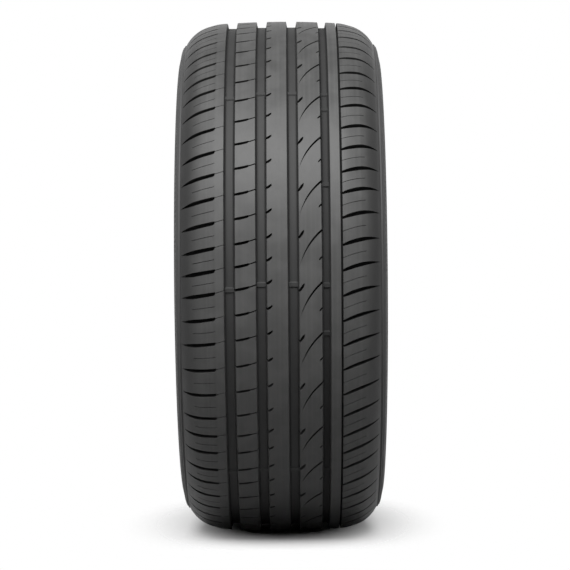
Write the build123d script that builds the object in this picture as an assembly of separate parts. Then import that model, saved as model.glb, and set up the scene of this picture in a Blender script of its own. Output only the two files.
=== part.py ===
from build123d import *
import os
from math import cos, pi, radians, sin, sqrt, tan

# Car tyre: one moulded rubber ring with an asymmetric tread.
# The origin is the wheel centre and the axle is Y, so the beads sit at -Y and +Y.
# The tread at angle zero faces +X, and angles grow from there towards +Z, the top.
# Lengths are millimetres and angles are degrees. Across is along the axle, along is round
# the tread, a height is measured outwards from the bead seat and a drop inwards from the crown.

# Section
rim_seat_diameter = 462.0
rim_width = 215.9
section_height = 99.5
section_width = 255.0
crown_radius = 1150.0
shoulder_radius = 47.0
shoulder_start_slope = 15.0
shoulder_end_slope = 61.0
shoulder_flats = 2
buttress_inset = 8.2
buttress_drop = 28.5
ledge_width = 2.2
ledge_drop = 1.6
widest_drop = 47.5
protector_inset = 1.2
protector_height = 29.0
flange_height = 17.5
flange_reach = 8.0

# Bead
seat_land = 12.0
heel_chamfer = 4.0
bead_wall_height = 18.0

# Walls
tread_thickness = 16.5
sidewall_thickness = 8.0
liner_corner_width = 38.0
liner_corner_height = 31.0
liner_knee_width = 12.5
liner_knee_height = 10.0

# Grooves that run round the tyre, from the left shoulder to the right one
groove_depth = 8.3
groove_draft = 12.0
wide_groove_width = 13.6
outer_groove_width = 10.9
groove_1_at = -60.4
groove_2_at = -22.8
groove_3_at = 15.0
groove_4_at = 53.8
fine_groove_at = 72.2
fine_groove_width = 2.7
fine_groove_depth = 5.0

# The tread and its liner are a ring of straight blocks, with their corners on the true circle.
block_count = 72

# Pitches round the tyre. Each half of the tread has its own order of short, medium and long
# pitches, written from the angle of its first slot downwards.
pitch_shares = {"S": 4.7, "M": 5.25, "L": 5.7}
left_first = 68.5
left_order = "LMSSSMLLMMMMSSMMLLLSSMSMLMMLLLMMSSMLLLMMMLLMMSMLLLMMSSMLLLLMMMSMLLLS"
right_first = 65.45
right_order = "LMLMMLMMSMLMMMMMLMMSSLLLLMLSSMLLLMSSMMLLMMSSSMLLLLMMSSMLLLMSSMLLLMSM"

# Shoulder slots
slot_depth = 5.0
slot_end_inset = 11.0
slot_end_drop = 25.2
left_slot_gap = 10.8
left_slot_drop = 8.8
left_slot_width = 2.4
left_slot_fall = 6.2
right_slot_drop = 6.9
right_slot_width = 2.1
right_slot_lead = -1.2
right_slot_rise = 10.4

# Cuts in the ribs. A lead is how far along the tread a cut starts from its pitch angle.
rib_cut_depth = 6.0
rib_2_slot_lead = 4.4
rib_2_slot_length = 15.5
rib_2_slot_rise = 3.0
rib_2_slot_width = 2.2
rib_3_notch_lead = 12.2
rib_3_notch_length = 5.8
rib_3_notch_rise = 3.6
rib_3_notch_width = 2.1
rib_4_notch_lead = -8.8
rib_4_notch_length = 5.9
rib_4_notch_rise = 7.4
rib_4_notch_width = 2.0
curve_phase = 0.5
curve_radius = 86.0
curve_start_slope = 42.0
curve_end_slope = 73.0
curve_runs = 2
curve_width = 1.6
curve_depth = 4.5

# How far a cutting tool reaches past the face that it opens
tool_reach = 12.0
groove_reach = 1.5

seat_radius = rim_seat_diameter / 2
tread_radius = seat_radius + section_height
half_section = section_width / 2
half_rim = rim_width / 2
liner_radius = tread_radius - tread_thickness
ledge_radius = tread_radius - buttress_drop - ledge_drop
buttress_across = half_section - buttress_inset
slot_end_across = half_section - slot_end_inset
half_block = pi / block_count


def crown_height(across):
    """Radius of the tread's crown at a place across the tread."""
    return tread_radius - crown_radius + sqrt(crown_radius**2 - across**2)


def shoulder_points():
    """Points on the arc of the right shoulder, from the crown out to the buttress."""
    end = radians(shoulder_end_slope)
    centre_across = buttress_across - shoulder_radius * sin(end)
    centre_radius = tread_radius - buttress_drop - shoulder_radius * cos(end)
    turn = (shoulder_end_slope - shoulder_start_slope) / shoulder_flats
    slopes = [radians(shoulder_start_slope + turn * step) for step in range(shoulder_flats + 1)]
    return [
        (centre_across + shoulder_radius * sin(slope), centre_radius + shoulder_radius * cos(slope))
        for slope in slopes
    ]


def groove_points(centre, width):
    """Edges and flat floor of a groove with drafted walls."""
    floor_radius = crown_height(centre) - groove_depth
    floor_half = width / 2 - groove_depth * tan(radians(groove_draft))
    left = centre - width / 2
    right = centre + width / 2
    return [
        (left, crown_height(left)),
        (centre - floor_half, floor_radius),
        (centre + floor_half, floor_radius),
        (right, crown_height(right)),
    ]


def fine_groove_points():
    """Edges and floor line of the fine groove beside the right shoulder."""
    left = fine_groove_at - fine_groove_width / 2
    right = fine_groove_at + fine_groove_width / 2
    return [
        (left, crown_height(left)),
        (fine_groove_at, crown_height(fine_groove_at) - fine_groove_depth),
        (right, crown_height(right)),
    ]


def mirrored(points):
    """The same points on the left side, in reverse order."""
    return [(-across, radius) for across, radius in reversed(points)]


def turned_ring(points):
    """Round ring turned about the axle from points (across, radius)."""
    section = make_face(Polyline(*points, close=True))
    return revolve(Plane.YZ * section, axis=Axis.Y)


def block_ring(points):
    """Ring of straight blocks from points (across, radius), each cut off where it meets the next."""
    flat_share = cos(half_block)
    section = make_face(Polyline(*((radius * flat_share, across) for across, radius in points), close=True))
    reach = max(radius for across, radius in points) + tool_reach
    spread = reach * tan(half_block)
    wedge = make_face(Plane.XZ * Polyline((0, 0), (reach, spread), (reach, -spread), close=True))
    block = extrude(section, spread, both=True) & extrude(wedge, section_width, both=True)
    turns = [360 * (number + 0.5) / block_count for number in range(block_count)]
    copies = [Rot(0, turn, 0) * block for turn in turns]
    return copies[0].fuse(*copies[1:])


def tread_band():
    """Tread from one buttress to the other, with the grooves that run round it."""
    shoulder = shoulder_points()
    profile = mirrored(shoulder)
    for centre in (groove_1_at, groove_2_at, groove_3_at):
        profile += groove_points(centre, wide_groove_width)
    profile += groove_points(groove_4_at, outer_groove_width)
    profile += fine_groove_points()
    profile += shoulder
    inside = ledge_radius - sidewall_thickness
    return block_ring([*profile, (buttress_across, inside), (-buttress_across, inside)])


def side_ring():
    """Sidewalls and beads as one solid ring, from the ledge beside the tread to the bead seats."""
    right = [
        (buttress_across + ledge_width, ledge_radius),
        (half_section, tread_radius - widest_drop),
        (half_section - protector_inset, seat_radius + protector_height),
        (half_rim + flange_reach, seat_radius + flange_height),
        (half_rim, seat_radius + heel_chamfer),
        (half_rim - heel_chamfer, seat_radius),
    ]
    return turned_ring([*right, *mirrored(right)])


def air_chamber():
    """Hollow between the beads and inside the sidewalls and the tread."""
    bead_across = half_rim - heel_chamfer - seat_land
    wall_across = half_section - sidewall_thickness
    wall_radius = liner_radius - liner_corner_height
    right = [
        (bead_across, seat_radius - tool_reach),
        (bead_across, seat_radius + bead_wall_height),
        (wall_across, wall_radius),
        (wall_across - liner_knee_width, liner_radius - liner_knee_height),
        (wall_across - liner_corner_width, liner_radius),
    ]
    return block_ring([*right, *mirrored(right)])


def v_cut(path, radius, width, depth):
    """Tool for a cut of even depth whose drafted walls meet at a floor line.

    The path is a list of places (across, along) on the tread, radius is the radius of the
    floor line, and the cut is width wide at depth above that line.
    """
    corners = [Vector(radius, across, along) for across, along in path]
    return wedge_along(corners, width, depth)


def wedge_along(corners, width, depth):
    """Wedge with its edge on the line through the corners, opening outwards from the axle."""
    height = depth + tool_reach
    half_mouth = width / 2 * height / depth
    run = corners[1] - corners[0]
    wedge = make_face(Polyline((0, 0), (half_mouth, height), (-half_mouth, height), close=True))
    start = Plane(corners[0], x_dir=Vector(1, 0, 0).cross(run), z_dir=run)
    return sweep(start * wedge, path=Polyline(*corners), transition=Transition.RIGHT)


def shoulder_slot(start, end, width):
    """Slot from an upright inner end out to the buttress, where it fades out."""
    run_up = (start - end) * (tool_reach / (start - end).length)
    tool = wedge_along([start + run_up, end], width, slot_depth)
    inner_end = Plane((0, start.Y, 0), z_dir=(0, end.Y - start.Y, 0))
    return split(tool, bisect_by=inner_end, keep=Keep.TOP)


def left_slot():
    """Slot of the left shoulder, closed at its inner end."""
    inner = groove_1_at - wide_groove_width / 2 - left_slot_gap
    start = Vector(tread_radius - left_slot_drop, inner, 0)
    end = Vector(tread_radius - slot_end_drop, -slot_end_across, -left_slot_fall)
    return shoulder_slot(start, end, left_slot_width)


def right_slot():
    """Slot of the right shoulder, open to the fine groove."""
    start = Vector(tread_radius - right_slot_drop, fine_groove_at, right_slot_lead)
    end = Vector(tread_radius - slot_end_drop, slot_end_across, right_slot_lead + right_slot_rise)
    return shoulder_slot(start, end, right_slot_width)


def edge_cut(edge, lead, length, rise, width):
    """Straight cut into a rib from the right edge of a groove."""
    slope = rise / length
    path = [(edge - groove_reach, lead - groove_reach * slope), (edge + length, lead + rise)]
    return v_cut(path, crown_height(edge) - rib_cut_depth, width, rib_cut_depth)


def rib_2_slot():
    """Slot across part of the second rib."""
    edge = groove_1_at + wide_groove_width / 2
    return edge_cut(edge, rib_2_slot_lead, rib_2_slot_length, rib_2_slot_rise, rib_2_slot_width)


def rib_3_notch():
    """Short notch in the left edge of the third rib."""
    edge = groove_2_at + wide_groove_width / 2
    return edge_cut(edge, rib_3_notch_lead, rib_3_notch_length, rib_3_notch_rise, rib_3_notch_width)


def rib_4_notch():
    """Steep notch in the left edge of the fourth rib."""
    edge = groove_3_at + wide_groove_width / 2
    return edge_cut(edge, rib_4_notch_lead, rib_4_notch_length, rib_4_notch_rise, rib_4_notch_width)


def rib_4_curve():
    """Long sweeping cut over the fourth rib, from the fourth groove down to the left."""
    edge = groove_4_at - outer_groove_width / 2
    first = radians(curve_start_slope)
    turn = radians(curve_end_slope - curve_start_slope) / curve_runs
    slopes = [first + turn * step for step in range(curve_runs + 1)]
    path = [
        (
            edge - curve_radius * (sin(slope) - sin(first)),
            curve_radius * (cos(slope) - cos(first)),
        )
        for slope in slopes
    ]
    path[0] = (edge + groove_reach, groove_reach * tan(first))
    return v_cut(path, crown_height(edge) - curve_depth, curve_width, curve_depth)


def pitch_angles(order, first):
    """Angle of each slot, and of the middle of the pitch below it, round the whole tyre."""
    total = sum(pitch_shares[letter] for letter in order)
    angles = []
    angle = first
    for letter in order:
        pitch = 360 * pitch_shares[letter] / total
        angles.append((angle, angle - curve_phase * pitch))
        angle -= pitch
    return angles


def at_angle(tool, angle):
    """The tool moved round the axle from angle zero."""
    return Rot(0, -angle, 0) * tool


def tread_cuts():
    """Every slot and notch of the tread."""
    left_tools = (left_slot(), rib_2_slot(), rib_3_notch())
    rib_4_tools = (rib_4_notch(), rib_4_curve())
    right_tool = right_slot()
    left_angles = pitch_angles(left_order, left_first)
    right_angles = pitch_angles(right_order, right_first)
    cuts = [at_angle(tool, angle) for angle, _ in left_angles for tool in left_tools]
    cuts += [at_angle(right_tool, angle) for angle, _ in right_angles]
    cuts += [at_angle(tool, angle) for _, angle in right_angles[::2] for tool in rib_4_tools]
    return cuts


def tyre():
    """The finished tyre."""
    body = side_ring() + tread_band() - air_chamber()
    return body.cut(*tread_cuts())


os.makedirs("parts", exist_ok=True)
export_step(tyre(), "parts/tyre.step")
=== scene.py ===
"""Car tyre: a moulded rubber ring with an asymmetric tread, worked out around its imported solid.

Lengths are millimetres and angles are degrees until a mesh is written in metres, and the studio is
in metres. Across is along the axle, from the left shoulder to the right one. Along is round the
tread, measured on its outside. An angle starts at the front of the tread and grows towards the top,
and a depth goes into the rubber.
"""
import logging
import math
from dataclasses import dataclass
from enum import Enum
from typing import Any, Protocol

import bpy
import numpy as np
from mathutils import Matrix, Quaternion, Vector


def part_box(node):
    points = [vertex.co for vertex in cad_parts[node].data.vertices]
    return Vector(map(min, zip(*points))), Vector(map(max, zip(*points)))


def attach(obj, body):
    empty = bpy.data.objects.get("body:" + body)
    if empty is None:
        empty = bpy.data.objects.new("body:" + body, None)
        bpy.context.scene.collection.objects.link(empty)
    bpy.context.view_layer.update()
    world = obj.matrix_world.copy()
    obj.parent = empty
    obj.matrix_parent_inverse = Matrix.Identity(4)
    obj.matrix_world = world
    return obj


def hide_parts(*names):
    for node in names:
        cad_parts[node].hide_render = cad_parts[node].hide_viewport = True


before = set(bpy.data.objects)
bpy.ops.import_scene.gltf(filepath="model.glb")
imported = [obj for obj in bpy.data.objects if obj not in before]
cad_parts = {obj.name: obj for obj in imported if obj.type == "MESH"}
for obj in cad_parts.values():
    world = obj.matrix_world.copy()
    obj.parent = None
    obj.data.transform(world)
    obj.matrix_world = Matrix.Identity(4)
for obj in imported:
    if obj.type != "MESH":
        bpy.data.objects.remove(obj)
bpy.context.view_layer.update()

Array = np.ndarray
Colour = tuple[float, float, float, float]
Place = tuple[float, float, float]
Points = tuple[tuple[float, float], ...]
Columns = tuple[tuple[float, float, float], ...]

LOG = logging.getLogger("tyre")
METRES = 0.001
FULL_TURN = 360.0
BODY = "root"
NODE = "tyre"
IMAGE_SIDE = 570
LINES_PER_PITCH = 9
FINE_PER_COARSE = 3


class Pitch(Enum):
    """Length of one pitch of the tread, in degrees before its order is closed to a full turn."""

    S = 4.7
    M = 5.25
    L = 5.7


class Side(Enum):
    """Side of the tyre, as the sign of its places across."""

    LEFT = -1
    RIGHT = 1


class Zone(Enum):
    """Number that each point of a mesh carries for its colour and roughness, from zero to one: painted
    shade in cuts, the sidewall, and painted shade on the shoulders' outer edges.
    """

    # Painted shade in cuts and grooves, from none to full.
    CUT_SHADE = "dark"
    SIDE = "side"
    # Painted shade on the shoulders' outer edges, where they turn away from the lamp.
    SHOULDER_SHADE = "edge"


@dataclass(frozen=True)
class PitchOrder:
    """Order of the pitches of a part of the tread, from the angle of its first slot downwards."""

    first: float
    letters: str

    def lengths(self) -> Array:
        """Length of each pitch, with the whole order closed to a full turn."""
        shares = np.array([Pitch[letter].value for letter in self.letters])
        return shares * FULL_TURN / shares.sum()

    def slots(self) -> Array:
        """Angle of each slot: the first one, less the pitches above it."""
        lengths = self.lengths()
        return self.first - np.cumsum(lengths) + lengths

    def middles(self) -> Array:
        """Angle halfway down each pitch."""
        return self.slots() - self.lengths() / 2


LEFT_ORDER = PitchOrder(68.5, "LMSSSMLLMMMMSSMMLLLSSMSMLMMLLLMMSSMLLLMMMLLMMSMLLLMMSSMLLLLMMMSMLLLS")
RIB_ORDER = PitchOrder(56.2, "LLLLLLLMMSSMMLLLMSMSLLMLLMMMLLMMSMLLLMMSSMLLLLMMMSMMMMSMMSSMMMMMSSMM")
RIGHT_ORDER = PitchOrder(65.45, "LMLMMLMMSMLMMMMMLMMSSLLLLMLSSMLLLMSSMMLLMMSSSMLLLLMMSSMLLLMSSMLLLMSM")


def smoothstep(low: float, high: float, value: Array) -> Array:
    """Zero up to low, one from high, and 3 t^2 - 2 t^3 between them.

    Args:
        low: Value at which the step starts.
        high: Value at which the step ends.
        value: Values to pass through the step.

    Returns:
        The stepped values, from zero to one.
    """
    share = np.clip((value - low) / (high - low), 0.0, 1.0)
    return share * share * (3.0 - 2.0 * share)


def spline(points: Points, steps: int) -> Array:
    """Smooth line through points, by a cubic over each span.

    A cubic's slope at a point is half the way from the point before to the point after. The first
    and the last point are repeated for that.

    Args:
        points: Places (across, radius) that the line goes through.
        steps: Number of stretches on each span.

    Returns:
        Places on the line, one row each, from the first point to the last.
    """
    knots = np.array((points[0], *points, points[-1]))
    p0, p1, p2, p3 = (knots[shift:len(knots) - 3 + shift, None, :] for shift in range(4))
    t = (np.arange(steps) / steps)[None, :, None]
    linear = (p2 - p0) * t
    square = (2 * p0 - 5 * p1 + 4 * p2 - p3) * t**2
    cube = (3 * p1 - p0 - 3 * p2 + p3) * t**3
    line = (2 * p1 + linear + square + cube) / 2
    return np.vstack((line.reshape(-1, 2), knots[-1]))


def ring_points(across: Array, radius: Array, angles: Array) -> Array:
    """Points at places across, at radii and at angles round the axle.

    Args:
        across: Places along the axle.
        radius: Distances from the axle.
        angles: Angles round the axle.

    Returns:
        Points in metres, with a last dimension of three.
    """
    turn = np.radians(angles)
    across = np.broadcast_to(across, angles.shape)
    return np.stack((radius * np.cos(turn), across, radius * np.sin(turn)), axis=-1) * METRES


def new_object(name: str, points: Array, faces: list[list[int]]) -> bpy.types.Object:
    """Makes a mesh object at the origin of the scene.

    Args:
        name: Name of the mesh and of its object.
        points: Places in metres, one row each.
        faces: Vertex numbers of each face.

    Returns:
        The object.
    """
    mesh = bpy.data.meshes.new(name)
    mesh.from_pydata(points.tolist(), [], faces)
    made = bpy.data.objects.new(name, mesh)
    bpy.context.scene.collection.objects.link(made)
    return made


def write_zone(mesh: bpy.types.Mesh, zone: Zone, values: Array) -> None:
    """Writes one number for each point of a mesh."""
    attribute = mesh.attributes.new(zone.value, "FLOAT", "POINT")
    attribute.data.foreach_set("value", values.astype(np.float32))


@dataclass(frozen=True)
class Section:
    """Outside of the tread's cross-section: a flat crown arc, a shoulder arc and what joins them."""

    tread_radius: float
    half_width: float
    crown_radius: float = 1150.0
    crown_edge: float = 74.0
    shoulder_radius: float = 47.0
    shoulder_start_slope: float = 15.0
    shoulder_end_slope: float = 61.0
    buttress_inset: float = 8.2
    buttress_drop: float = 28.5
    upright_cut_edge: float = 76.0
    square_cut_edge: float = 90.0

    @property
    def buttress_across(self) -> float:
        """Place across at which the tread ends."""
        return self.half_width - self.buttress_inset

    def crown(self, across: Array) -> Array:
        """Radius of the crown: a circle of the crown radius that touches the tread radius."""
        return self.tread_radius - self.crown_radius + np.sqrt(self.crown_radius**2 - across**2)

    def radius(self, across: Array) -> Array:
        """Radius of the tread's face.

        The crown arc runs to its edge, a cubic with the slopes of both arcs runs on to the shoulder,
        and the shoulder is a circle that ends at the buttress.

        Args:
            across: Places across, on either side.

        Returns:
            Radius at each place.
        """
        out = np.abs(across)
        start, end = (math.radians(s) for s in (self.shoulder_start_slope, self.shoulder_end_slope))
        centre_across = self.buttress_across - self.shoulder_radius * math.sin(end)
        centre_radius = self.tread_radius - self.buttress_drop - self.shoulder_radius * math.cos(end)
        shoulder_across = centre_across + self.shoulder_radius * math.sin(start)
        reach = np.clip(out - centre_across, 0.0, self.shoulder_radius)
        shoulder = centre_radius + np.sqrt(self.shoulder_radius**2 - reach**2)
        span = shoulder_across - self.crown_edge
        t = np.clip((out - self.crown_edge) / span, 0.0, 1.0)
        first = float(self.crown(np.array(self.crown_edge)))
        last = centre_radius + self.shoulder_radius * math.cos(start)
        first_rise = -self.crown_edge / self.crown_radius * span
        last_rise = -math.tan(start) * span
        bend = (
            first * (2 * t**3 - 3 * t**2 + 1)
            + first_rise * (t**3 - 2 * t**2 + t)
            + last * (3 * t**2 - 2 * t**3)
            + last_rise * (t**3 - t**2)
        )
        inner = np.where(out < self.crown_edge, self.crown(np.minimum(out, self.crown_edge)), bend)
        return np.where(out < shoulder_across, inner, shoulder)

    def inward(self, across: Array) -> tuple[Array, Array]:
        """Direction in which cuts go into the rubber: upright on the crown, square on the shoulders.

        Args:
            across: Places across.

        Returns:
            The direction's parts along the axle and along the radius.
        """
        step = 0.02
        slope = (self.radius(across + step) - self.radius(across - step)) / (2 * step)
        share = smoothstep(self.upright_cut_edge, self.square_cut_edge, np.abs(across))
        tilt = np.arctan(slope) * share
        return np.sin(tilt), -np.cos(tilt)


@dataclass(frozen=True)
class Course:
    """A size that changes across the tread, straight between its knots (across, size)."""

    knots: Points

    def at(self, across: Array) -> Array:
        """Size at each place across."""
        places, sizes = np.array(self.knots).T
        return np.interp(across, places, sizes)


class Path(Protocol):
    """The middle line of a cut: how far along the tread it lies at a place across."""

    def at(self, across: Array) -> Array:
        """Distance along at each place across."""


@dataclass(frozen=True)
class BentPath:
    """A line that leaves its start with a slope and bends evenly: lead + slope t + bend t^2."""

    start: float
    lead: float
    slope: float
    bend: float = 0.0

    def at(self, across: Array) -> Array:
        """Distance along, with t the distance across from the start."""
        t = across - self.start
        return self.lead + self.slope * t + self.bend * t**2


@dataclass(frozen=True)
class SweepPath:
    """A circular sweep that leaves a rib's right edge with a slope and steepens to the left.

    The sine of its slope grows by the distance from the edge over the radius, and along is the
    radius times the change of the slope's cosine.
    """

    edge: float
    radius: float
    edge_slope: float
    steepest: float = 0.985

    def at(self, across: Array) -> Array:
        """Distance along, below the point where the sweep leaves the edge.

        Args:
            across: Places across.

        Returns:
            Distance along at each place.
        """
        first = math.radians(self.edge_slope)
        sine = np.clip(math.sin(first) + (self.edge - across) / self.radius, 0.0, self.steepest)
        return self.radius * (np.sqrt(1.0 - sine**2) - math.cos(first))


@dataclass(frozen=True)
class Cut:
    """A cut in a rib: its middle line, its half-widths above and below that line, and its depth."""

    path: Path
    above: Course
    below: Course
    depth: Course
    floor_share: float = 0.86

    def lines(self, across: Array) -> tuple[Array, Array]:
        """Grid lines of the cut: upper edge, upper floor, lower floor and lower edge.

        A half-width is measured square to the path, so along the tread it is longer by the square
        root of one plus the path's slope squared.

        Args:
            across: Places across.

        Returns:
            Distance along and depth, each with a row for every place and a column for every line.
        """
        step = 0.05
        slope = (self.path.at(across + step) - self.path.at(across - step)) / (2 * step)
        stretch = np.sqrt(1.0 + slope**2)
        middle = self.path.at(across)
        above = self.above.at(across) * stretch
        below = self.below.at(across) * stretch
        share = self.floor_share
        along = (middle + above, middle + share * above, middle - share * below, middle - below)
        depth = self.depth.at(across)
        face = np.zeros_like(depth)
        return np.stack(along, axis=1), np.stack((face, depth, depth, face), axis=1)


@dataclass(frozen=True)
class Sipe:
    """A fine cut halfway between two slots: its half-width and its depth."""

    half: Course
    depth: Course


# A rib without sipes has the same three lines there, spread over its plain face.
PLAIN_SIPE = Sipe(half=Course(((0.0, 3.2),)), depth=Course(((0.0, 0.0),)))


@dataclass(frozen=True)
class Strip:
    """Grid columns of the tread: places across, and each line's angle, depth and painted shade."""

    across: Array
    angles: Array
    depths: Array
    # Painted shade of each line, from none to full.
    cut_shades: Array

    @staticmethod
    def plain(across: float, angles: Array) -> "Strip":
        """A strip of one column on the face of the tread."""
        face = np.zeros((1, len(angles)))
        return Strip(np.array([across]), angles[None, :], face, face)

    def rolled(self, shift: int) -> "Strip":
        """The same strip with its lines counted from another one.

        Args:
            shift: Number of the line that becomes the first one.

        Returns:
            A strip whose angles still fall steadily from line to line.
        """
        count = self.angles.shape[1]
        turns, index = np.divmod(np.arange(count) + shift, count)
        angles = self.angles[:, index] - FULL_TURN * turns
        return Strip(self.across, angles, self.depths[:, index], self.cut_shades[:, index])

    def nearest_shift(self, edge: Array) -> int:
        """The roll that brings the first column nearest to the lines of another strip's edge.

        Args:
            edge: Angles of the other strip's column.

        Returns:
            Number of the line that becomes the first one.
        """
        first = Strip.plain(self.across[0], self.angles[0])
        half = self.angles.shape[1] // 2
        shifts = range(-half, half)
        misses = [np.abs(first.rolled(shift).angles[0] - edge).mean() for shift in shifts]
        return shifts[int(np.argmin(misses))]

    def aligned(self, edge: Array) -> "Strip":
        """The strip rolled so that its first column lies nearest to another strip's edge."""
        return self.rolled(self.nearest_shift(edge))


@dataclass(frozen=True)
class Rib:
    """A stretch of the tread with cuts: its columns, the angles of its cuts and their forms."""

    columns: tuple[float, ...]
    angles: Array
    cuts: tuple[Cut, ...]
    sipe: Sipe = PLAIN_SIPE
    # Depths between which the painted shade in a cut grows from none to full.
    shade_start_depth: float = 0.3
    shade_full_depth: float = 4.0

    def lay(self, radius: float) -> Strip:
        """Lays the grid over the rib, with lines on every edge and floor of its cuts.

        Each pitch has four lines on its cut, one plain line, three lines on the sipe halfway to the
        next cut, and one more plain line. Successive pitches take the cuts in turn.

        Args:
            radius: Radius on which distances along are measured.

        Returns:
            The rib's strip.
        """
        across = np.array(self.columns)
        laid = [cut.lines(across) for cut in self.cuts]
        turn = np.arange(len(self.angles)) % len(self.cuts)
        along, depth = (np.stack(part)[turn].transpose(1, 0, 2) for part in zip(*laid))
        mouth = self.angles[None, :, None] + np.degrees(along / radius)
        last = mouth[:, :, -1:]
        following = np.roll(mouth[:, :, :1], -1, axis=1)
        following[:, -1] -= FULL_TURN
        middle = (last + following) / 2
        half = np.degrees(self.sipe.half.at(across) / radius)[:, None, None]
        sipe = np.concatenate((middle + half, middle, middle - half), axis=2)
        above, below = (last + sipe[:, :, :1]) / 2, (sipe[:, :, 2:] + following) / 2
        face = np.zeros_like(middle)
        bottom = face + self.sipe.depth.at(across)[:, None, None]
        angles = np.concatenate((mouth, above, sipe, below), axis=2)
        depths = np.concatenate((depth, face, face, bottom, face, face), axis=2)
        shape = (len(across), -1)
        depths = depths.reshape(shape)
        # Painted shade: a line is darker the deeper it lies in a cut.
        cut_shades = smoothstep(self.shade_start_depth, self.shade_full_depth, depths)
        return Strip(across, angles.reshape(shape), depths, cut_shades)


@dataclass(frozen=True)
class Link:
    """Columns between two ribs, over which the grid lines pass from one rib's angles to the next's.

    A column is (across, depth, painted shade), and the lines pass over between a start and an end.
    """

    columns: Columns
    start: float
    end: float

    @staticmethod
    def opened(values: Array, first: Array, last: Array) -> Array:
        """Repeats each column's value over its lines, with at least the ribs' own values at both ends.

        Args:
            values: Value of each column.
            first: Values of the lines of the rib before.
            last: Values of the lines of the rib after.

        Returns:
            Value of each column and line.
        """
        lines = np.repeat(values[:, None], len(first), axis=1)
        lines[0] = np.maximum(lines[0], first)
        lines[-1] = np.maximum(lines[-1], last)
        return lines

    def lay(self, before: Strip, after: Strip) -> Strip:
        """Lays the grid over the link.

        Args:
            before: Strip on the link's left.
            after: Strip on the link's right.

        Returns:
            The link's strip: angles blended by a smooth step, and cuts carried into its first and
            last columns where they open into a groove.
        """
        # The third value of each column is its painted shade, with at least the ribs' own at both ends.
        across, base, dark = np.array(self.columns).T
        share = smoothstep(self.start, self.end, across)[:, None]
        angles = before.angles[-1] * (1.0 - share) + after.angles[0] * share
        depths = self.opened(base, before.depths[-1], after.depths[0])
        cut_shades = self.opened(dark, before.cut_shades[-1], after.cut_shades[0])
        return Strip(across, angles, depths, cut_shades)


@dataclass(frozen=True)
class Groove:
    """A groove that runs round the tyre, with drafted walls, a rounded foot and a broken edge."""

    centre: float
    width: float
    depth: float = 8.3
    draft: float = 12.0
    edge_break: float = 0.45
    foot: float = 1.3
    foot_on_wall: float = 0.2
    # Painted shade on the broken edge, on the walls and on the floor, from none to full.
    edge_shade: float = 0.4
    wall_shade: float = 0.9
    floor_shade: float = 0.70

    @property
    def left(self) -> float:
        """Place across of the rib's edge on its left."""
        return self.centre - self.width / 2 - self.edge_break / 2

    @property
    def right(self) -> float:
        """Place across of the rib's edge on its right."""
        return self.centre + self.width / 2 + self.edge_break / 2

    @property
    def floor_half(self) -> float:
        """Half the width of the floor, out to where the walls would meet it."""
        return self.width / 2 - self.depth * math.tan(math.radians(self.draft))

    @property
    def foot_on_floor(self) -> float:
        """Length of the rounded foot that lies on the floor, and its height on the wall."""
        return (1.0 - self.foot_on_wall) * self.foot

    @property
    def flat_edges(self) -> tuple[float, float]:
        """Places across between which the floor is flat."""
        flat_half = self.floor_half - self.foot_on_floor
        return self.centre - flat_half, self.centre + flat_half

    def columns(self) -> Columns:
        """Columns over the groove, from the left edge's break to the right one's.

        Returns:
            Place across, depth and painted shade of each column.
        """
        edge = self.width / 2 - self.edge_break / 2
        wall = self.floor_half + self.foot_on_wall * self.foot
        wall_depth = self.depth - self.foot_on_floor
        floor_left, floor_right = self.flat_edges
        return (
            (self.centre - edge, self.edge_break, self.edge_shade),
            (self.centre - wall, wall_depth, self.wall_shade),
            (floor_left, self.depth, self.floor_shade),
            (self.centre, self.depth, self.floor_shade),
            (floor_right, self.depth, self.floor_shade),
            (self.centre + wall, wall_depth, self.wall_shade),
            (self.centre + edge, self.edge_break, self.edge_shade),
        )


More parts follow.
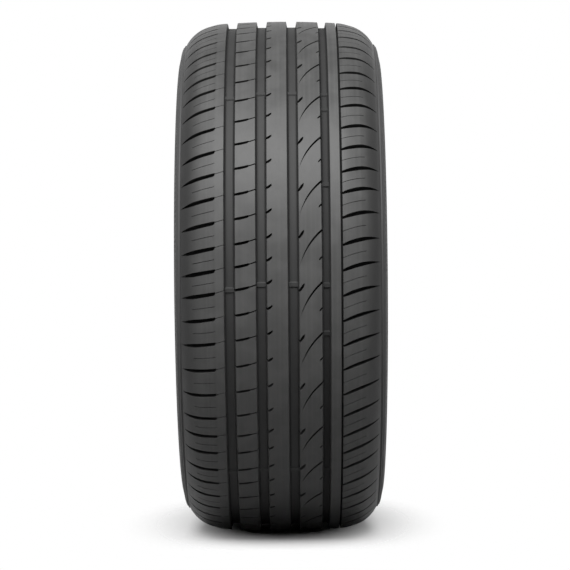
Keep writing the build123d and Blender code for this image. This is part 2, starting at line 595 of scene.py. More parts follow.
@dataclass
class Tread:
    """The tread: shoulders, ribs and grooves, laid as one grid from one buttress to the other."""

    section: Section
    groove_1: Groove = Groove(-60.4, 13.6)
    groove_2: Groove = Groove(-22.8, 13.6)
    groove_3: Groove = Groove(15.0, 13.6)
    # The fourth groove and the fine groove take more painted shade on their floors.
    groove_4: Groove = Groove(53.8, 10.9, floor_shade=0.77)
    fine_groove: Groove = Groove(
        72.2, 2.7, depth=6.0, draft=6.0, edge_break=0.3, foot=0.4, floor_shade=1.0
    )
    slot_depth: float = 7.5
    right_slot_depth: float = 7.0
    run_on_depth: float = 3.5
    run_on_half: float = 0.75
    sipe_depth: float = 2.5
    sipe_half: float = 0.36
    plain_half: float = 3.0
    plain_rib_inset: float = 7.0
    plain_rib_columns: int = 4
    narrow_rib_columns: int = 3

    @property
    def main_grooves(self) -> tuple[Groove, ...]:
        """The four wide grooves, from left to right."""
        return self.groove_1, self.groove_2, self.groove_3, self.groove_4

    def left_shoulder(self) -> Rib:
        """Left shoulder: slots closed at their inner end, a sipe on to the groove, and one between.

        Returns:
            The shoulder as a rib.
        """
        inner, run_on = -78.0, -77.3
        edge = self.groove_1.left
        outer_half = ((-117.0, 0.5), (-112.0, 1.65), (-104.0, 2.55))
        slot = Cut(
            path=Course(((-119.0, -6.8), (inner, 0.1), (run_on, 1.1), (edge, 4.0))),
            above=Course((*outer_half, (inner, 2.2), (run_on, self.sipe_half))),
            below=Course((*outer_half, (-79.6, 2.2), (inner, 1.2), (run_on, self.sipe_half))),
            depth=Course(
                (
                    (-117.6, 0.0), (-116.0, 1.6), (-110.0, 5.5), (-100.0, self.slot_depth),
                    (inner, self.slot_depth), (run_on, self.run_on_depth),
                )
            ),
        )
        sipe_end, sipe_full = -105.0, -103.5
        sipe = Sipe(
            half=Course(
                (
                    (-108.0, self.plain_half), (sipe_end, self.sipe_half),
                    (inner, self.sipe_half), (-75.0, self.plain_half),
                )
            ),
            depth=Course(
                ((sipe_end, 0.0), (sipe_full, self.sipe_depth), (-78.6, self.sipe_depth), (inner, 0.0))
            ),
        )
        columns = (
            -118.2, -117.2, -116.0, -114.0, -112.0, -110.0, -107.5, sipe_end, sipe_full, -100.0, -96.0,
            -92.0, -88.0, -84.0, -81.0, -79.6, -78.6, inner, run_on, -74.5, -71.0, edge,
        )
        return Rib(columns, LEFT_ORDER.slots(), (slot,), sipe)

    def second_rib(self) -> Rib:
        """Second rib: a slot from the first groove that runs on as a fine sipe to the second.

        Returns:
            The rib.
        """
        left, right = self.groove_1.right, self.groove_2.left
        slot_end = left + 15.5
        run_on = slot_end + 0.7
        slot_half = ((left, 1.5), (left + 5.0, 1.75))
        cut = Cut(
            path=BentPath(start=left, lead=4.4, slope=0.12, bend=0.0055),
            above=Course((*slot_half, (slot_end, 1.5), (run_on, self.run_on_half))),
            below=Course((*slot_half, (slot_end - 1.0, 1.55), (run_on, self.run_on_half))),
            depth=Course(((slot_end, self.slot_depth), (run_on, self.run_on_depth))),
        )
        columns = (
            left, left + 1.2, left + 5.0, left + 9.0, left + 12.5, slot_end - 1.0, slot_end, run_on,
            left + 19.0, left + 22.0, right,
        )
        return Rib(columns, RIB_ORDER.slots(), (cut,))

    def third_rib(self) -> Rib:
        """Left edge of the third rib: a short rising notch in every pitch.

        Returns:
            The rib's edge as a rib.
        """
        left = self.groove_2.right
        notch_end = left + 5.8
        notch_foot = notch_end - 0.3
        cut = Cut(
            path=BentPath(start=left, lead=12.2, slope=0.5, bend=0.02),
            above=Course(((left, 1.4), (left + 4.0, 1.65), (notch_end, 1.1))),
            below=Course(((left, 1.5), (left + 3.0, 1.65), (notch_end - 0.6, 0.9))),
            depth=Course(
                ((left, self.slot_depth), (left + 4.5, 6.0), (notch_foot, 4.5), (notch_end, 0.0))
            ),
        )
        columns = (left, left + 1.5, left + 3.0, left + 4.5, notch_foot, notch_end)
        return Rib(columns, RIB_ORDER.slots(), (cut,))

    def fourth_rib(self) -> Rib:
        """Fourth rib: in turn, a long sweeping cut, and a notch on each edge.

        Returns:
            The rib.
        """
        left, right = self.groove_3.right, self.groove_4.left
        sweep_half = Course(((left + 1.4, 0.25), (left + 10.0, 0.9), (right, 1.3)))
        sweep = Cut(
            path=SweepPath(edge=right, radius=86.0, edge_slope=42.0),
            above=sweep_half,
            below=sweep_half,
            depth=Course(((left + 1.2, 0.0), (left + 4.0, 1.8), (left + 10.0, 4.5), (right, 5.5))),
        )
        notch_end = left + 5.9
        tick_end = right - 3.0
        tick_full = tick_end + 0.8
        notch_half = Course(
            ((left, 1.5), (left + 4.0, 1.75), (notch_end, 0.75), (tick_end, 0.7), (right, 1.2))
        )
        notches = Cut(
            path=Course(
                (
                    (left, -39.3), (notch_end, -31.9), (left + 9.0, -26.0), (left + 14.0, -17.5),
                    (left + 19.0, -9.2), (tick_end, -3.0), (right, 0.0),
                )
            ),
            above=notch_half,
            below=notch_half,
            depth=Course(
                (
                    (left, self.slot_depth), (notch_end - 1.4, 6.0), (notch_end, 0.0),
                    (tick_end, 0.0), (tick_full, self.run_on_depth), (right, 5.5),
                )
            ),
        )
        columns = (
            left, left + 1.3, left + 2.8, left + 4.5, notch_end, left + 7.5, left + 9.5, left + 11.5,
            left + 13.5, left + 15.5, left + 17.5, left + 19.5, left + 21.5, tick_end, tick_full,
            right - 1.0, right,
        )
        return Rib(columns, RIGHT_ORDER.middles(), (sweep, notches))

    def right_shoulder(self) -> Rib:
        """Right shoulder: bowed slots open to the fine groove, with a sipe between them.

        Returns:
            The shoulder as a rib.
        """
        left = self.fine_groove.right
        slot_half = Course(
            ((left, 1.4), (80.0, 2.1), (88.0, 2.45), (98.0, 2.45), (108.0, 1.65), (116.5, 0.5))
        )
        slot_end = 117.2
        slot = Cut(
            path=BentPath(start=left, lead=-0.7, slope=0.42, bend=-0.0039),
            above=slot_half,
            below=slot_half,
            depth=Course(
                (
                    (left, self.fine_groove.depth), (80.0, self.right_slot_depth),
                    (100.0, self.right_slot_depth), (108.0, 5.5), (114.5, 2.4), (slot_end, 0.0),
                )
            ),
        )
        sipe_full, sipe_end = 99.5, 101.0
        sipe = Sipe(
            half=Course(((left, self.sipe_half), (sipe_end, self.sipe_half), (104.0, self.plain_half))),
            depth=Course(((left, self.sipe_depth), (sipe_full, self.sipe_depth), (sipe_end, 0.0))),
        )
        columns = (
            left, 76.0, 79.0, 82.5, 86.0, 90.0, 94.0, 97.5, sipe_full, sipe_end, 104.0, 106.5, 109.0,
            111.5, 114.0, 116.0, slot_end, 118.2,
        )
        return Rib(columns, RIGHT_ORDER.slots(), (slot,), sipe)

    @staticmethod
    def plain_columns(start: float, end: float, count: int) -> Columns:
        """Even columns on the face of a rib without cuts."""
        return tuple((place, 0.0, 0.0) for place in np.linspace(start, end, count).tolist())

    def links(self) -> tuple[Link, ...]:
        """The stretches between the ribs that have cuts.

        Returns:
            Links over the first groove, over the second, over the plain part of the third rib with
            the third groove, and over the fourth groove with the narrow rib and the fine groove.
        """
        plain_start, plain_end = self.groove_2.right + self.plain_rib_inset, self.groove_3.left
        plain_rib = self.plain_columns(plain_start, plain_end, self.plain_rib_columns)
        narrow_edges = self.groove_4.right, self.fine_groove.left
        narrow_rib = self.plain_columns(*narrow_edges, self.narrow_rib_columns)
        last = (*self.groove_4.columns(), *narrow_rib, *self.fine_groove.columns())
        return (
            Link(self.groove_1.columns(), *self.groove_1.flat_edges),
            Link(self.groove_2.columns(), *self.groove_2.flat_edges),
            Link((*plain_rib, *self.groove_3.columns()), plain_start, plain_end),
            Link(last, self.groove_4.centre, self.fine_groove.centre),
        )

    def edge(self, strip: Strip, column: int, side: Side) -> Strip:
        """The buttress column beside a shoulder, with the lines of each pitch spread evenly.

        Args:
            strip: The shoulder's strip.
            column: Number of the strip's outer column.
            side: Side of the tyre.

        Returns:
            A strip of one column.
        """
        firsts = strip.angles[column, ::LINES_PER_PITCH]
        lengths = firsts - np.append(firsts[1:], firsts[0] - FULL_TURN)
        shares = np.arange(LINES_PER_PITCH) / LINES_PER_PITCH
        angles = (firsts[:, None] - lengths[:, None] * shares).ravel()
        return Strip.plain(side.value * self.section.buttress_across, angles)

    def lay(self) -> Strip:
        """Lays the whole tread, from the left buttress to the right one.

        Returns:
            One strip with the columns of every shoulder, rib and link.
        """
        ribs = (
            self.left_shoulder(), self.second_rib(), self.third_rib(), self.fourth_rib(),
            self.right_shoulder(),
        )
        laid = [rib.lay(self.section.tread_radius) for rib in ribs]
        strips = [self.edge(laid[0], 0, Side.LEFT), laid[0]]
        before = laid[0]
        for link, rib in zip(self.links(), laid[1:]):
            after = rib.aligned(before.angles[-1])
            strips += [link.lay(before, after), after]
            before = after
        strips.append(self.edge(laid[-1], -1, Side.RIGHT).aligned(before.angles[-1]))
        return Strip(
            np.concatenate([strip.across for strip in strips]),
            np.vstack([strip.angles for strip in strips]),
            np.vstack([strip.depths for strip in strips]),
            np.vstack([strip.cut_shades for strip in strips]),
        )

    def surface(self, strip: Strip) -> Array:
        """Places of the tread's grid: its face, less the depth of each cut along the inward direction.

        Args:
            strip: The laid tread.

        Returns:
            Points in metres, one for each column and line.
        """
        along_axle, along_radius = self.section.inward(strip.across)
        across = strip.across[:, None] + strip.depths * along_axle[:, None]
        radius = self.section.radius(strip.across)[:, None] + strip.depths * along_radius[:, None]
        return ring_points(across, radius, strip.angles)


@dataclass(frozen=True)
class RaisedRing:
    """A low ring on the sidewall with sloping flanks."""

    radius: float
    half_width: float
    height: float
    flank: float = 0.5

    def rows(self) -> tuple[float, ...]:
        """Radii at which the ring's section turns, from the outside in."""
        outer = self.half_width + self.flank
        return tuple(self.radius + reach for reach in (outer, self.half_width, -self.half_width, -outer))

    def height_at(self, radius: Array) -> Array:
        """Height of the ring: full on its top, falling straight to nothing over its flanks."""
        away = np.abs(radius - self.radius)
        return self.height * np.clip((self.half_width + self.flank - away) / self.flank, 0.0, 1.0)


@dataclass
class Casing:
    """Sidewalls, beads and liner: one profile carried round the axle.

    Pairs are places (across, radius). The foot and the lip of the ledge are offsets from where the
    ledge meets the buttress and the sidewall, and the nose and the heel of the rim protector are
    offsets from the end of the sidewall.
    """

    section: Section
    ledge_drop: float = 30.1
    ledge_across: float = 121.5
    ledge_foot: tuple[float, float] = (0.1, 0.3)
    ledge_lip: tuple[float, float] = (-0.6, 0.1)
    widest_radius: float = 281.0
    widest_inset: float = 0.5
    upper_power: float = 1.8
    wall_rows: int = 9
    protector_radius: float = 262.0
    protector_inset: float = 1.5
    protector_nose: tuple[float, float] = (0.6, -1.6)
    protector_heel: tuple[float, float] = (-0.3, -3.6)
    rim_side: Points = ((119.5, 252.2), (115.6, 247.6), (111.8, 240.6), (108.2, 235.4))
    seat_outer: float = 103.9
    seat_inner: float = 92.6
    seat_radius: float = 231.0
    toe_across: float = 91.95
    toe_rise: float = 0.8
    toe_top: float = 240.0
    liner: Points = (
        (93.2, 250.0), (106.5, 266.0), (119.3, 284.0), (116.6, 297.0), (106.0, 306.6), (88.0, 312.8),
        (60.0, 314.0), (0.0, 314.0),
    )
    span_steps: int = 2
    rings: tuple[RaisedRing, ...] = (
        RaisedRing(297.2, 0.6, 0.7),
        RaisedRing(294.2, 0.4, 0.5),
        RaisedRing(281.0, 0.7, 0.5),
        RaisedRing(271.6, 0.5, 0.6),
        RaisedRing(268.4, 0.5, 0.6),
    )

    @property
    def ledge_radius(self) -> float:
        """Radius of the ledge beside the tread."""
        return self.section.tread_radius - self.ledge_drop

    def wall(self, radius: Array) -> Array:
        """Place across of the right sidewall's face.

        Outside the widest place it falls in by a power towards the ledge, and inside it by a square
        towards the rim protector. The rings stand on it.

        Args:
            radius: Distances from the axle.

        Returns:
            Place across at each radius.
        """
        widest = self.section.half_width - self.widest_inset
        above = (radius - self.widest_radius) / (self.ledge_radius - self.widest_radius)
        below = (self.widest_radius - radius) / (self.widest_radius - self.protector_radius)
        base = widest - (widest - self.ledge_across) * np.clip(above, 0.0, 1.0)**self.upper_power
        base -= (self.protector_inset - self.widest_inset) * np.clip(below, 0.0, 1.0)**2
        return base + sum(ring.height_at(radius) for ring in self.rings)

    def right_outside(self) -> Array:
        """Outside of the right half, from the ledge to the bead's toe.

        Returns:
            Rows (across, radius): the ledge, the sidewall with a row at every turn of its rings, a
            smooth line over the rim protector to the bead, and the bead's flat.
        """
        turns = [radius for ring in self.rings for radius in ring.rows()]
        plain = np.linspace(self.ledge_radius, self.protector_radius, self.wall_rows)
        radii = np.unique(np.concatenate((turns, plain)))[::-1]
        wall = np.stack((self.wall(radii), radii), axis=1)
        foot = np.add((self.section.buttress_across, self.ledge_radius), self.ledge_foot)
        lip = np.add((self.ledge_across, self.ledge_radius), self.ledge_lip)
        nose, heel = (wall[-1] + offset for offset in (self.protector_nose, self.protector_heel))
        bead = (nose, heel, *self.rim_side, (self.seat_outer, self.seat_radius))
        flat_end = (self.seat_inner, self.seat_radius)
        toe = (self.toe_across, self.seat_radius + self.toe_rise)
        return np.vstack((foot, lip, wall, spline(bead, self.span_steps), flat_end, toe))

    def right_inside(self) -> Array:
        """Inside of the right half, from the bead's toe to the middle of the liner."""
        return spline(((self.toe_across, self.toe_top), *self.liner), self.span_steps)

    def profile(self) -> Array:
        """The whole profile, from the right ledge round the inside to the left one.

        Returns:
            Rows (across, radius), the left half a mirror image of the right one.
        """
        right = np.vstack((self.right_outside(), self.right_inside()))
        left = right[-2::-1] * (-1.0, 1.0)
        return np.vstack((right, left))

    def outside_share(self) -> Array:
        """One on the outside of the sidewalls and zero inside, for each row of the profile."""
        half = np.append(np.ones(len(self.right_outside())), np.zeros(len(self.right_inside())))
        return np.append(half, half[-2::-1])


@dataclass
class Tyre:
    """The tyre as one closed mesh: the tread's fine grid and the casing's coarser one."""

    tread: Tread
    casing: Casing
    sharp_angle: float = 32.0
    # Places across between which painted shade comes up on the shoulders' outer edges.
    shoulder_shade_from: float = 94.0
    shoulder_shade_to: float = 117.0
    name: str = "tyre_rubber"

    def casing_angles(self, strip: Strip, rows: int) -> tuple[Array, int]:
        """Angles of the casing's lines, which pass from the right edge's to the left edge's.

        Args:
            strip: The laid tread.
            rows: Number of rows of the casing.

        Returns:
            Angles for each row and line, and how many coarse lines the left edge is shifted by.
        """
        right, left = (strip.angles[column, ::FINE_PER_COARSE] for column in (-1, 0))
        edge = Strip.plain(strip.across[0], left)
        shift = edge.nearest_shift(right)
        share = np.linspace(0.0, 1.0, rows)[:, None]
        return right * (1.0 - share) + edge.rolled(shift).angles * share, shift

    @staticmethod
    def quads(grid: Array) -> Array:
        """Four-sided faces of a grid that closes round its lines.

        Args:
            grid: Vertex numbers, with a row for each column of the mesh.

        Returns:
            Vertex numbers of each face.
        """
        after = np.roll(grid, -1, axis=1)
        corners = (grid[:-1], after[:-1], after[1:], grid[1:])
        return np.stack(corners, axis=-1).reshape(-1, 4)

    def faces(self, columns: int, lines: int, rows: int, shift: int) -> list[list[int]]:
        """Faces of the closed mesh: four-sided on both grids, six-sided where the two meet.

        Args:
            columns: Number of columns of the tread.
            lines: Number of its lines.
            rows: Number of rows of the casing.
            shift: Coarse lines by which the tread's left edge is shifted.

        Returns:
            The faces' vertex numbers, facing outwards.
        """
        fine = np.arange(columns * lines).reshape(columns, lines)
        coarse_lines = lines // FINE_PER_COARSE
        coarse = columns * lines + np.arange(rows * coarse_lines).reshape(rows, coarse_lines)
        quads = np.concatenate([self.quads(grid) for grid in (fine, coarse)])
        step = np.arange(FINE_PER_COARSE + 1)
        first = np.arange(coarse_lines)[:, None]
        right = fine[-1][(first * FINE_PER_COARSE + step) % lines]
        left = fine[0][((first + shift) * FINE_PER_COARSE + step) % lines]
        start, end = coarse[0], coarse[-1]
        right_hexes = np.column_stack((right, np.roll(start, -1), start))
        left_hexes = np.column_stack((end, np.roll(end, -1), left[:, ::-1]))
        return quads.tolist() + right_hexes.tolist() + left_hexes.tolist()

    def build(self) -> bpy.types.Object:
        """Builds the tyre, whose points carry the painted shade of its cuts, whether they lie on a
        sidewall, and the painted shade of the shoulders' outer edges.

        Returns:
            The tyre's object.
        """
        strip = self.tread.lay()
        profile = self.casing.profile()
        angles, shift = self.casing_angles(strip, len(profile))
        grids = self.tread.surface(strip), ring_points(profile[:, :1], profile[:, 1:], angles)
        points = np.concatenate([grid.reshape(-1, 3) for grid in grids])
        columns, lines = strip.angles.shape
        piece = new_object(self.name, points, self.faces(columns, lines, len(profile), shift))
        mesh = piece.data
        # Painted shade on the shoulders' outer edges, rising towards the buttresses.
        shoulder_shade = smoothstep(self.shoulder_shade_from, self.shoulder_shade_to, np.abs(strip.across))
        sides = np.repeat(self.casing.outside_share(), angles.shape[1])
        no_tread, no_casing = np.zeros(strip.angles.size), np.zeros(angles.size)
        write_zone(mesh, Zone.SHOULDER_SHADE, np.append(np.repeat(shoulder_shade, lines), no_casing))
        write_zone(mesh, Zone.CUT_SHADE, np.append(strip.cut_shades, no_casing))
        write_zone(mesh, Zone.SIDE, np.append(no_tread, sides))
        mesh.polygons.foreach_set("use_smooth", np.ones(len(mesh.polygons), dtype=bool))
        mesh.set_sharp_from_angle(angle=math.radians(self.sharp_angle))
        mesh.validate()
        mesh.update()
        return piece


@dataclass
class WearBars:
    """Low bars on the floors of the main grooves, with a few more in the fourth groove."""

    tread: Tread
    count: int = 8
    firsts: tuple[float, ...] = (-2.9, -1.8, -1.8, -2.0)
    fourth_groove_extras: tuple[float, ...] = (38.5, 19.6, -12.2)
    length: float = 4.4
    ramp: float = 1.9
    height: float = 1.5
    sink: float = 0.4
    name: str = "wear_bars"

    def build(self) -> bpy.types.Object:
        """Builds every bar in one mesh.

        A bar is a prism across a groove's floor, a trapezium along the tread: sunk into the floor at
        both ends and flat on top between two ramps.

        Returns:
            The bars' object.
        """
        grooves = self.tread.main_grooves
        extras = len(self.fourth_groove_extras)
        turns = np.arange(self.count) * FULL_TURN / self.count
        regular = np.array(self.firsts)[:, None] + turns
        middles = np.append(regular, self.fourth_groove_extras)[:, None, None]
        owners = np.append(np.repeat(np.arange(len(grooves)), self.count), [len(grooves) - 1] * extras)
        sizes = [(groove.centre, groove.floor_half, groove.depth, groove.floor_shade) for groove in grooves]
        centres, halves, depths, cut_shades = np.array(sizes)[owners].T
        floors = self.tread.section.radius(centres) - depths
        top = self.length / 2
        along = np.array((top + self.ramp, top, -top, -top - self.ramp))
        heights = np.array((-self.sink, self.height, self.height, -self.sink))
        shape = (len(owners), 2, len(along))
        radius = np.broadcast_to(floors[:, None, None] + heights, shape)
        ends = centres[:, None] + (halves + self.sink)[:, None] * (-1.0, 1.0)
        across = np.broadcast_to(ends[:, :, None], shape)
        points = ring_points(across, radius, middles + np.degrees(along / radius)).reshape(-1, 3)
        sides = ((0, 1, 5, 4), (1, 2, 6, 5), (2, 3, 7, 6), (3, 0, 4, 7))
        prism = np.array((*sides, (3, 2, 1, 0), (4, 5, 6, 7)))
        corners = 2 * len(along)
        starts = np.arange(len(owners))[:, None, None] * corners
        piece = new_object(self.name, points, (starts + prism).reshape(-1, 4).tolist())
        # The bars take the painted shade of their groove's floor.
        write_zone(piece.data, Zone.CUT_SHADE, np.repeat(cut_shades, corners))
        piece.data.validate()
        return piece


class Signal:
    """A number in a shader, whose arithmetic adds Math nodes."""

    def __init__(self, shader: "Shader", socket: bpy.types.NodeSocket) -> None:
        """Wraps a socket of a shader."""
        self.shader = shader
        self.socket = socket

    def math(self, operation: str, *values: Any) -> "Signal":
        """A Math node on values, with this signal among them.

        Args:
            operation: Name of the node's operation.
            values: The node's inputs, as numbers or signals.

        Returns:
            The node's result.
        """
        return self.shader.signal("ShaderNodeMath", {"operation": operation}, dict(enumerate(values)))

    def __add__(self, other: Any) -> "Signal":
        """This signal plus another value."""
        return self.math("ADD", self, other)

    def __radd__(self, other: Any) -> "Signal":
        """Another value plus this signal."""
        return self.math("ADD", other, self)

    def __sub__(self, other: Any) -> "Signal":
        """This signal less another value."""
        return self.math("SUBTRACT", self, other)

    def __rsub__(self, other: Any) -> "Signal":
        """Another value less this signal."""
        return self.math("SUBTRACT", other, self)

    def __mul__(self, other: Any) -> "Signal":
        """This signal times another value."""
        return self.math("MULTIPLY", self, other)

    def __rmul__(self, other: Any) -> "Signal":
        """Another value times this signal."""
        return self.math("MULTIPLY", other, self)

    def step(self, low: float, high: float) -> "Signal":
        """A smooth step of this signal, from zero at low to one at high."""
        sockets = {0: self, 1: low, 2: high, 3: 0.0, 4: 1.0}
        return self.shader.signal("ShaderNodeMapRange", {"interpolation_type": "SMOOTHSTEP"}, sockets)


class Shader:
    """The node tree of a material or a world."""

    def __init__(self, tree: bpy.types.NodeTree) -> None:
        """Starts with an empty tree."""
        self.tree = tree
        tree.nodes.clear()

    def node(self, kind: str, settings: dict[str, Any], sockets: dict[Any, Any]) -> bpy.types.Node:
        """Adds a node.

        Args:
            kind: The node's type.
            settings: Its settings, which are set first.
            sockets: Values or links of its inputs, by name or number.

        Returns:
            The node.
        """
        made = self.tree.nodes.new(kind)
        for name, value in settings.items():
            setattr(made, name, value)
        for key, value in sockets.items():
            socket = value.socket if isinstance(value, Signal) else value
            if isinstance(socket, bpy.types.NodeSocket):
                self.tree.links.new(socket, made.inputs[key])
            else:
                made.inputs[key].default_value = socket
        return made

    def signal(
        self, kind: str, settings: dict[str, Any], sockets: dict[Any, Any], output: Any = 0
    ) -> Signal:
        """One output of a new node, as a signal."""
        return Signal(self, self.node(kind, settings, sockets).outputs[output])

    def place(self) -> bpy.types.NodeSocket:
        """Object coordinates, which in a world are the direction of a ray."""
        return self.node("ShaderNodeTexCoord", {}, {}).outputs["Object"]

    def blend(self, share: Signal, first: Any, second: Any) -> bpy.types.NodeSocket:
        """A colour that passes from the first to the second with a share from zero to one."""
        node = self.node("ShaderNodeMix", {"data_type": "RGBA"}, {0: share, 6: first, 7: second})
        return node.outputs[2]

    def camera_ray(self) -> Signal:
        """One for rays of the camera, and zero for all others."""
        return self.signal("ShaderNodeLightPath", {}, {}, "Is Camera Ray")

    def seen_directly(self) -> Signal:
        """One for rays of the camera, of reflections and through glass, and zero for scattered light.

        Returns:
            The sum of the three kinds of ray, at most one.
        """
        path = self.node("ShaderNodeLightPath", {}, {})
        kinds = ("Is Camera Ray", "Is Glossy Ray", "Is Transmission Ray")
        camera, glossy, through = (Signal(self, path.outputs[kind]) for kind in kinds)
        return camera.math("MINIMUM", camera + glossy + through, 1.0)


def new_material(name: str) -> tuple[bpy.types.Material, Shader]:
    """Makes a material.

    Args:
        name: The material's name.

    Returns:
        The material and its empty shader.
    """
    made = bpy.data.materials.new(name)
    made.use_nodes = True
    return made, Shader(made.node_tree)


@dataclass(frozen=True)
class Noise:
    """A noise in a finish: its scale and detail, and what it adds to the bump and the roughness."""

    scale: float
    detail: float
    unevenness: float
    height: float = 0.0

    def signal(self, shader: Shader, vector: bpy.types.NodeSocket) -> Signal:
        """The noise at a vector, from zero to one."""
        sockets = {"Vector": vector, "Scale": self.scale, "Detail": self.detail}
        return shader.signal("ShaderNodeTexNoise", {}, sockets)

    def roughness(self, signal: Signal) -> Signal:
        """What the noise adds to the roughness: nothing at its middle value of a half."""
        return (signal - 0.5) * self.unevenness


@dataclass(frozen=True)
class Wear:
    """Rubbed patches: the values of a noise between which they come up, and their strength."""

    low: float
    high: float
    strength: float

    def signal(self, noise: Signal) -> Signal:
        """How rubbed the rubber is: a smooth step of the noise."""
        return noise.step(self.low, self.high) * self.strength


@dataclass(frozen=True)
class RubberFinish:
    """Moulded tyre rubber: dark grey, matt and finely grained, with painted shade in the cuts and on the
    shoulders' outer edges.
    """

    face: Colour = (0.0650, 0.0650, 0.0644, 1.0)
    worn: Colour = (0.0950, 0.0950, 0.0940, 1.0)
    # Colour of the painted shade in cuts and grooves.
    cut_shade_colour: Colour = (0.0190, 0.0190, 0.0190, 1.0)
    # Colour of the painted shade on the shoulders' outer edges.
    shoulder: Colour = (0.0160, 0.0160, 0.0160, 1.0)
    sidewall: Colour = (0.0640, 0.0640, 0.0643, 1.0)
    specular: float = 0.27
    roughness: float = 0.45
    side_roughness: float = 0.14
    deep_roughness: float = 0.95
    deep_from: float = 0.6
    deep_to: float = 0.85
    grain: Noise = Noise(scale=1100.0, detail=2.0, unevenness=0.12, height=0.35)
    mottle: Noise = Noise(scale=38.0, detail=3.0, unevenness=0.16, height=0.4)
    streak: Noise = Noise(scale=260.0, detail=2.0, unevenness=0.22)
    mottle_wear: Wear = Wear(low=0.35, high=0.7, strength=0.6)
    streak_wear: Wear = Wear(low=0.3, high=0.75, strength=0.4)
    bump_strength: float = 0.5
    bump_distance: float = 0.0003
    hatch_height: float = 4.0
    hatch_count: int = 300
    hatch_outer: float = 292.6
    hatch_inner: float = 283.6
    hatch_fade: float = 0.4

    def material(self) -> bpy.types.Material:
        """Makes the rubber's material from Object coordinates and the mesh's own zones.

        Returns:
            The material: grained and mottled, with faint streaks that run round the tyre because
            their noise changes only across it.
        """
        made, shader = new_material("moulded_rubber")
        place = shader.place()
        # Zones: painted shade in cuts, the sidewall, and painted shade on the shoulders' outer edges.
        dark, side, edge = (
            shader.signal("ShaderNodeAttribute", {"attribute_name": zone.value}, {}, "Fac")
            for zone in (Zone.CUT_SHADE, Zone.SIDE, Zone.SHOULDER_SHADE)
        )
        parts = shader.node("ShaderNodeSeparateXYZ", {}, {0: place})
        x, y, z = (Signal(shader, output) for output in parts.outputs)
        line = shader.node("ShaderNodeCombineXYZ", {}, {1: y})
        grain = self.grain.signal(shader, place)
        mottle = self.mottle.signal(shader, place)
        streak = self.streak.signal(shader, line.outputs[0])
        rubbed = self.mottle_wear.signal(mottle) + self.streak_wear.signal(streak)
        face = shader.blend(rubbed, self.face, self.worn)
        # Painted shade on the shoulders' outer edges.
        shoulder_shaded = shader.blend(edge, face, self.shoulder)
        walled = shader.blend(side, shoulder_shaded, self.sidewall)
        # Painted shade in cuts and grooves.
        colour = shader.blend(dark, walled, self.cut_shade_colour)
        height = grain * self.grain.height + mottle * self.mottle.height
        height = height + self.hatch(x, z) * side * self.hatch_height
        bump = {"Strength": self.bump_strength, "Distance": self.bump_distance, "Height": height}
        uneven = self.grain.roughness(grain) + self.mottle.roughness(mottle) + self.streak.roughness(streak)
        roughness = self.roughness + uneven + side * self.side_roughness
        deepened = dark.step(self.deep_from, self.deep_to) * (self.deep_roughness - self.roughness)
        sockets = {
            "Base Color": colour,
            "Roughness": roughness + deepened,
            "Specular IOR Level": self.specular,
            "Normal": shader.node("ShaderNodeBump", {}, bump).outputs["Normal"],
        }
        rubber = shader.node("ShaderNodeBsdfPrincipled", {}, sockets)
        shader.node("ShaderNodeOutputMaterial", {}, {"Surface": rubber.outputs[0]})
        return made

    def hatch(self, x: Signal, z: Signal) -> Signal:
        """Fine radial ribs in a band of the sidewall: a sine of the angle round the axle.

        Args:
            x: Place towards the front of the tread, in metres.
            z: Place upwards, in metres.

        Returns:
            The height of the ribs, from zero to one.
        """
        square = x * x + z * z
        radius = square.math("SQRT", square)
        wave = z.math("SINE", z.math("ARCTAN2", z, x) * self.hatch_count) * 0.5 + 0.5
        outer = 1.0 - radius.step(self.hatch_outer * METRES, (self.hatch_outer + self.hatch_fade) * METRES)
        inner = radius.step((self.hatch_inner - self.hatch_fade) * METRES, self.hatch_inner * METRES)
        return wave * outer * inner


@dataclass(frozen=True)
class PaperFloor:
    """A round pale floor that keeps the shadow and fades into the white surroundings.

    The fade is measured from a middle that lies behind the tyre, with places along the floor's two
    directions stretched first, and only the camera sees it.
    """

    shown: Colour = (0.86, 0.86, 0.86, 1.0)
    bounced: Colour = (0.06, 0.06, 0.06, 1.0)
    radius: float = 0.9
    fade_from: float = 0.11
    fade_to: float = 0.38
    narrowing: Place = (0.75, 1.7, 0.0)
    shift: Place = (0.07, 0.0, 0.0)
    corners: int = 96

    def material(self) -> bpy.types.Material:
        """Makes the floor's material: pale where it is seen, dim where it only scatters light.

        Returns:
            The material.
        """
        made, shader = new_material("pale_floor")
        bounced, shown = (
            shader.node("ShaderNodeBsdfDiffuse", {}, {"Color": colour}).outputs[0]
            for colour in (self.bounced, self.shown)
        )
        paper = shader.node("ShaderNodeMixShader", {}, {0: shader.seen_directly(), 1: bounced, 2: shown})
        sockets = {0: shader.place(), 1: self.narrowing, 2: self.shift}
        flat = shader.node("ShaderNodeVectorMath", {"operation": "MULTIPLY_ADD"}, sockets).outputs[0]
        away = shader.signal("ShaderNodeVectorMath", {"operation": "LENGTH"}, {0: flat}, "Value")
        fade = away.step(self.fade_from, self.fade_to) * shader.camera_ray()
        clear = shader.node("ShaderNodeBsdfTransparent", {}, {}).outputs[0]
        faded = shader.node("ShaderNodeMixShader", {}, {0: fade, 1: paper.outputs[0], 2: clear})
        shader.node("ShaderNodeOutputMaterial", {}, {"Surface": faded.outputs[0]})
        return made

    def build(self, height: float) -> bpy.types.Object:
        """Lays the floor as one round face.

        Args:
            height: Height of the floor, in metres.

        Returns:
            The floor's object.
        """
        turn = np.linspace(0.0, math.tau, self.corners, endpoint=False)
        rim = np.column_stack((np.cos(turn), np.sin(turn))) * self.radius
        points = np.column_stack((rim, np.full(self.corners, height)))
        floor = new_object("floor", points, [list(range(self.corners))])
        floor.data.materials.append(self.material())
        return floor


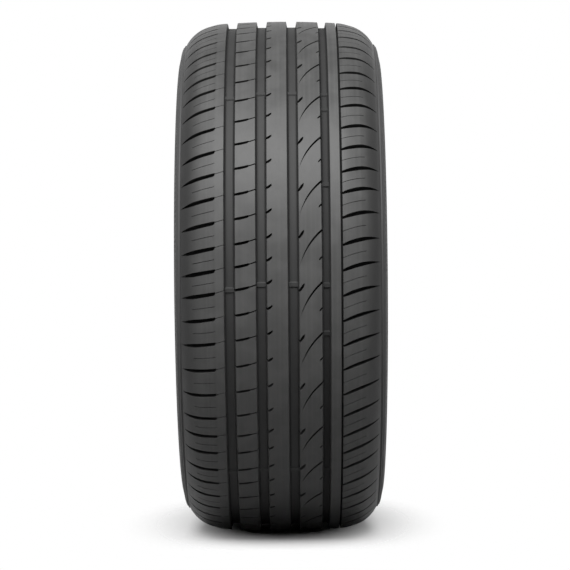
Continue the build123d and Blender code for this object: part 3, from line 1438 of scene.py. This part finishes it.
@dataclass(frozen=True)
class Softbox:
    """A large soft lamp: its place, what it points at, its sides in metres and its power in watts."""

    name: str
    place: Place
    width: float
    height: float
    power: float
    target: Place = (0.0, 0.0, 0.0)

    def build(self) -> bpy.types.Object:
        """Hangs the lamp.

        Returns:
            The lamp's object.
        """
        lamp = bpy.data.lights.new(self.name, "AREA")
        lamp.shape = "RECTANGLE"
        lamp.size = self.width
        lamp.size_y = self.height
        lamp.energy = self.power
        made = bpy.data.objects.new(self.name, lamp)
        made.location = self.place
        made.rotation_mode = "QUATERNION"
        made.rotation_quaternion = (Vector(self.target) - Vector(self.place)).to_track_quat("-Z", "Y")
        bpy.context.scene.collection.objects.link(made)
        return made


@dataclass
class Studio:
    """Floor, lamps, surroundings and camera."""

    floor: PaperFloor = PaperFloor()
    white: Colour = (1.0, 1.0, 1.0, 1.0)
    fill: float = 0.02
    ceiling: float = 0.15
    ceiling_from: float = 0.42
    ceiling_to: float = 0.70
    lamps: tuple[Softbox, ...] = (
        Softbox("front_softbox", (2.65, -0.25, 3.6), width=4.4, height=2.9, power=332.0),
        Softbox("low_softbox", (3.8, -0.2, 2.1), width=4.2, height=2.0, power=18.0),
    )
    camera_distance: float = 3.219
    camera_across: float = 0.0099
    aim_across: float = 0.0043
    aim_height: float = -0.0116
    camera_roll: float = -0.46
    focal_pixels: float = 2463.7
    sensor: float = 36.0

    def light(self) -> None:
        """Hangs the lamps and sets the surroundings.

        The surroundings are a dim fill that is seen as white, by reflections too, but with a dimmer
        ceiling for every ray that isn't the camera's.
        """
        for lamp in self.lamps:
            lamp.build()
        world = bpy.data.worlds.new("studio")
        bpy.context.scene.world = world
        world.use_nodes = True
        shader = Shader(world.node_tree)
        height = shader.signal("ShaderNodeSeparateXYZ", {}, {0: shader.place()}, 2)
        overhead = height.step(self.ceiling_from, self.ceiling_to) * (1.0 - shader.camera_ray())
        shown = shader.seen_directly() * (1.0 - overhead * (1.0 - self.ceiling))
        strength = self.fill + shown * (1.0 - self.fill)
        sockets = {"Color": self.white, "Strength": strength}
        background = shader.node("ShaderNodeBackground", {}, sockets)
        shader.node("ShaderNodeOutputWorld", {}, {"Surface": background.outputs[0]})

    def shoot(self) -> bpy.types.Object:
        """Sets up the camera in front of the tread, at the height of the axle.

        Returns:
            The camera's object.
        """
        camera = bpy.data.cameras.new("camera")
        camera.sensor_width = self.sensor
        camera.lens = self.focal_pixels / IMAGE_SIDE * self.sensor
        made = bpy.data.objects.new("camera", camera)
        place = Vector((self.camera_distance, self.camera_across, 0.0))
        aim = Vector((0.0, self.aim_across, self.aim_height))
        facing = (aim - place).to_track_quat("-Z", "Y")
        roll = Quaternion((0.0, 0.0, 1.0), math.radians(self.camera_roll))
        made.location = place
        made.rotation_mode = "QUATERNION"
        made.rotation_quaternion = facing @ roll
        bpy.context.scene.collection.objects.link(made)
        bpy.context.scene.camera = made
        return made


def main() -> None:
    """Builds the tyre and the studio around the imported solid."""
    logging.basicConfig(level=logging.INFO, format="%(name)s: %(message)s")
    low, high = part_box(NODE)
    section = Section(tread_radius=high.z / METRES, half_width=high.y / METRES)
    tread = Tread(section)
    rubber = RubberFinish().material()
    tyre = Tyre(tread, Casing(section)).build()
    for piece in (tyre, WearBars(tread).build()):
        piece.data.materials.append(rubber)
        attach(piece, BODY)
        triangles = sum(len(face.vertices) - 2 for face in piece.data.polygons)
        LOG.info("%s: %d triangles", piece.name, triangles)
    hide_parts(NODE)
    studio = Studio()
    floor = studio.floor.build(low.z)
    LOG.info("%s at %.4f m", floor.name, low.z)
    studio.light()
    studio.shoot()
    bpy.context.scene.view_settings.view_transform = "Standard"


if __name__ == "__main__":
    main()
